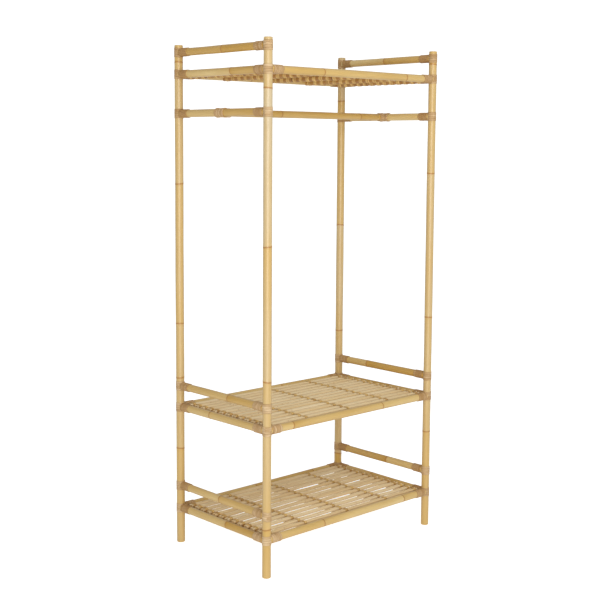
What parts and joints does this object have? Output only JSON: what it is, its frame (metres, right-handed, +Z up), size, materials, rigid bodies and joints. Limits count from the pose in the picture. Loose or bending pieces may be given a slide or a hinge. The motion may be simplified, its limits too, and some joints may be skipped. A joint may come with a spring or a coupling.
{
  "type": "clothes rack",
  "caption": "Free-standing rattan pole clothes rack with a hanging rod, stick shelves at three levels and wrapped joints.",
  "frame": {"origin": "on the floor under the middle of the rack", "axes": "+X to the rack's right, +Y to its back, +Z up"},
  "size_m": [0.846, 0.51, 1.8],
  "materials": {
    "post_pole": "natural pole rattan, skin on, satin",
    "rail_pole": "natural pole rattan, skin on, satin",
    "bearer_pole": "thin pole rattan, satin",
    "shelf_stick": "thin peeled rattan sticks, matt",
    "stick_tie": "rattan peel ties, matt",
    "joint_binding": "rattan peel wrapping, matt",
    "fastener_steel": "zinc plated"
  },
  "bodies": {
    "root": {"front_left_post": "post_pole", "front_right_post": "post_pole", "back_left_post": "post_pole", "back_right_post": "post_pole", "left_top_guard_rail": "rail_pole", "left_hanger_rail": "rail_pole", "left_middle_guard_rail": "rail_pole", "left_bottom_guard_rail": "rail_pole", "left_top_shelf_rail": "rail_pole", "left_middle_shelf_rail": "rail_pole", "left_bottom_shelf_rail": "rail_pole", "right_top_guard_rail": "rail_pole", "right_hanger_rail": "rail_pole", "right_middle_guard_rail": "rail_pole", "right_bottom_guard_rail": "rail_pole", "right_top_shelf_rail": "rail_pole", "right_middle_shelf_rail": "rail_pole", "right_bottom_shelf_rail": "rail_pole", "front_top_shelf_rail": "rail_pole", "front_middle_shelf_rail": "rail_pole", "front_bottom_shelf_rail": "rail_pole", "back_top_shelf_rail": "rail_pole", "back_middle_shelf_rail": "rail_pole", "back_bottom_shelf_rail": "rail_pole", "hanging_rod": "rail_pole", "top_shelf_bearer_1": "bearer_pole", "top_shelf_bearer_2": "bearer_pole", "top_shelf_bearer_3": "bearer_pole", "top_shelf_bearer_4": "bearer_pole", "top_shelf_bearer_5": "bearer_pole", "middle_shelf_bearer_1": "bearer_pole", "middle_shelf_bearer_2": "bearer_pole", "middle_shelf_bearer_3": "bearer_pole", "middle_shelf_bearer_4": "bearer_pole", "middle_shelf_bearer_5": "bearer_pole", "bottom_shelf_bearer_1": "bearer_pole", "bottom_shelf_bearer_2": "bearer_pole", "bottom_shelf_bearer_3": "bearer_pole", "bottom_shelf_bearer_4": "bearer_pole", "bottom_shelf_bearer_5": "bearer_pole", "top_shelf_sticks": "shelf_stick", "middle_shelf_sticks": "shelf_stick", "bottom_shelf_sticks": "shelf_stick", "top_shelf_lashings": "stick_tie", "middle_shelf_lashings": "stick_tie", "bottom_shelf_lashings": "stick_tie", "front_left_bindings": "joint_binding", "front_right_bindings": "joint_binding", "back_left_bindings": "joint_binding", "back_right_bindings": "joint_binding", "hanging_rod_bindings": "joint_binding", "side_rail_screws": "fastener_steel", "long_rail_screws": "fastener_steel", "hanging_rod_screws": "fastener_steel", "bearer_nails": "fastener_steel"}
  },
  "joints": []
}
